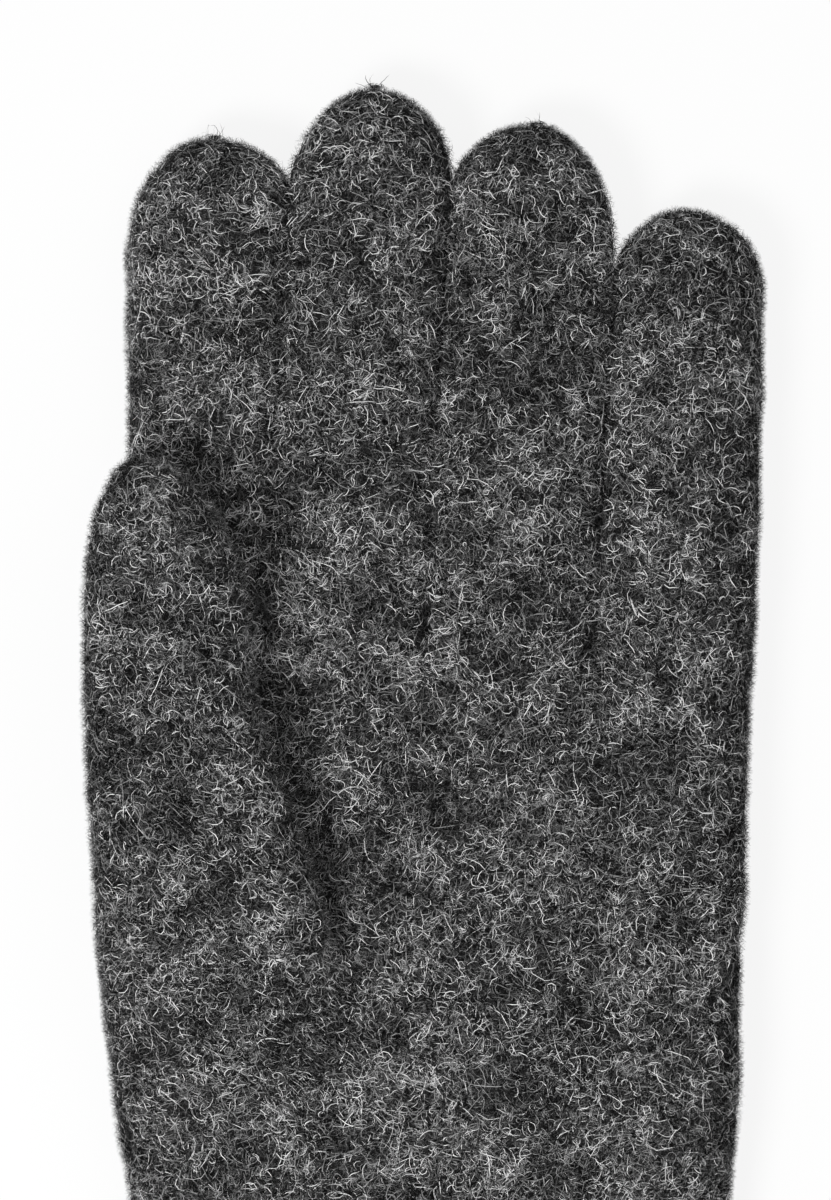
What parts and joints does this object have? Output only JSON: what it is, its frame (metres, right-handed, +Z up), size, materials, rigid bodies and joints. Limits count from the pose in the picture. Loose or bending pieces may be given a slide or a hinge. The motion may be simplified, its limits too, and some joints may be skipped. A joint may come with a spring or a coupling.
{
  "type": "touchscreen glove",
  "caption": "Left-hand glove of fulled wool, laid palm up with the thumb folded over the palm, with a knitted lining, conductive touch tips and a ribbed cuff.",
  "frame": {"origin": "centre of the footprint on the surface that the glove lies on", "axes": "+Z up out of the palm, +Y towards the fingertips, the thumb on the -X side"},
  "size_m": [0.114, 0.25, 0.0309],
  "materials": {
    "wool": "fulled wool, dark grey heather",
    "touch_knit": "fulled wool knitted with conductive yarn, dark grey heather",
    "rib": "ribbed wool knit, dark grey heather",
    "lining": "fine brushed knit, charcoal",
    "elastic": "woven elastic",
    "label": "satin ribbon, blank"
  },
  "bodies": {
    "hand": {"hand_shell": "wool", "hand_lining": "lining", "care_label": "label"},
    "cuff": {"cuff_outer": "rib", "cuff_inner": "rib", "cuff_elastic": "elastic", "cuff_edge": "rib"},
    "thumb_gusset": {"thumb_gusset_shell": "wool", "thumb_gusset_lining": "lining"},
    "thumb_lower": {"thumb_lower_shell": "wool", "thumb_lower_lining": "lining"},
    "thumb_tip": {"thumb_tip_shell": "wool", "thumb_touch_cap": "touch_knit", "thumb_tip_lining": "lining"},
    "index_lower": {"index_lower_shell": "wool", "index_lower_lining": "lining"},
    "index_tip": {"index_tip_shell": "wool", "index_touch_cap": "touch_knit", "index_tip_lining": "lining"},
    "middle_lower": {"middle_lower_shell": "wool", "middle_lower_lining": "lining"},
    "middle_tip": {"middle_tip_shell": "wool", "middle_tip_lining": "lining"},
    "ring_lower": {"ring_lower_shell": "wool", "ring_lower_lining": "lining"},
    "ring_tip": {"ring_tip_shell": "wool", "ring_tip_lining": "lining"},
    "little_lower": {"little_lower_shell": "wool", "little_lower_lining": "lining"},
    "little_tip": {"little_tip_shell": "wool", "little_tip_lining": "lining"}
  },
  "joints": [
    {"name": "index_root", "type": "hinge", "parent": "hand", "child": "index_lower", "pos_m": [-0.03733, 0.06476, 0.0162], "axis": [0.9983, -0.0576, 0], "range_deg": [0, 90]},
    {"name": "index_bend", "type": "hinge", "parent": "index_lower", "child": "index_tip", "pos_m": [-0.03578, 0.09171, 0.0162], "axis": [0.9983, -0.0576, 0], "range_deg": [0, 90]},
    {"name": "middle_root", "type": "hinge", "parent": "hand", "child": "middle_lower", "pos_m": [-0.01195, 0.05678, 0.0162], "axis": [0.9983, -0.0576, 0], "range_deg": [0, 90]},
    {"name": "middle_bend", "type": "hinge", "parent": "middle_lower", "child": "middle_tip", "pos_m": [-0.00999, 0.09073, 0.0162], "axis": [0.9983, -0.0576, 0], "range_deg": [0, 90]},
    {"name": "ring_root", "type": "hinge", "parent": "hand", "child": "ring_lower", "pos_m": [0.0152, 0.05522, 0.0162], "axis": [0.9983, -0.0576, 0], "range_deg": [0, 90]},
    {"name": "ring_bend", "type": "hinge", "parent": "ring_lower", "child": "ring_tip", "pos_m": [0.01705, 0.08716, 0.0162], "axis": [0.9983, -0.0576, 0], "range_deg": [0, 90]},
    {"name": "little_root", "type": "hinge", "parent": "hand", "child": "little_lower", "pos_m": [0.0417, 0.04568, 0.0162], "axis": [0.9983, -0.0576, 0], "range_deg": [0, 90]},
    {"name": "little_bend", "type": "hinge", "parent": "little_lower", "child": "little_tip", "pos_m": [0.04343, 0.07563, 0.0162], "axis": [0.9983, -0.0576, 0], "range_deg": [0, 90]},
    {"name": "thumb_swing", "type": "hinge", "parent": "hand", "child": "thumb_gusset", "pos_m": [-0.035, -0.032, 0.0163], "axis": [0, 0, 1], "range_deg": [0, 45]},
    {"name": "thumb_lift", "type": "hinge", "parent": "thumb_gusset", "child": "thumb_lower", "pos_m": [-0.035, -0.014, 0.0311], "axis": [1, 0, 0], "range_deg": [0, 60]},
    {"name": "thumb_bend", "type": "hinge", "parent": "thumb_lower", "child": "thumb_tip", "pos_m": [-0.043, 0.028, 0.0311], "axis": [1, 0, 0], "range_deg": [0, 75]},
    {"name": "cuff_fold", "type": "hinge", "parent": "hand", "child": "cuff", "pos_m": [0.0005, -0.07815, 0.0162], "axis": [-1, 0, 0], "range_deg": [0, 90]}
  ]
}
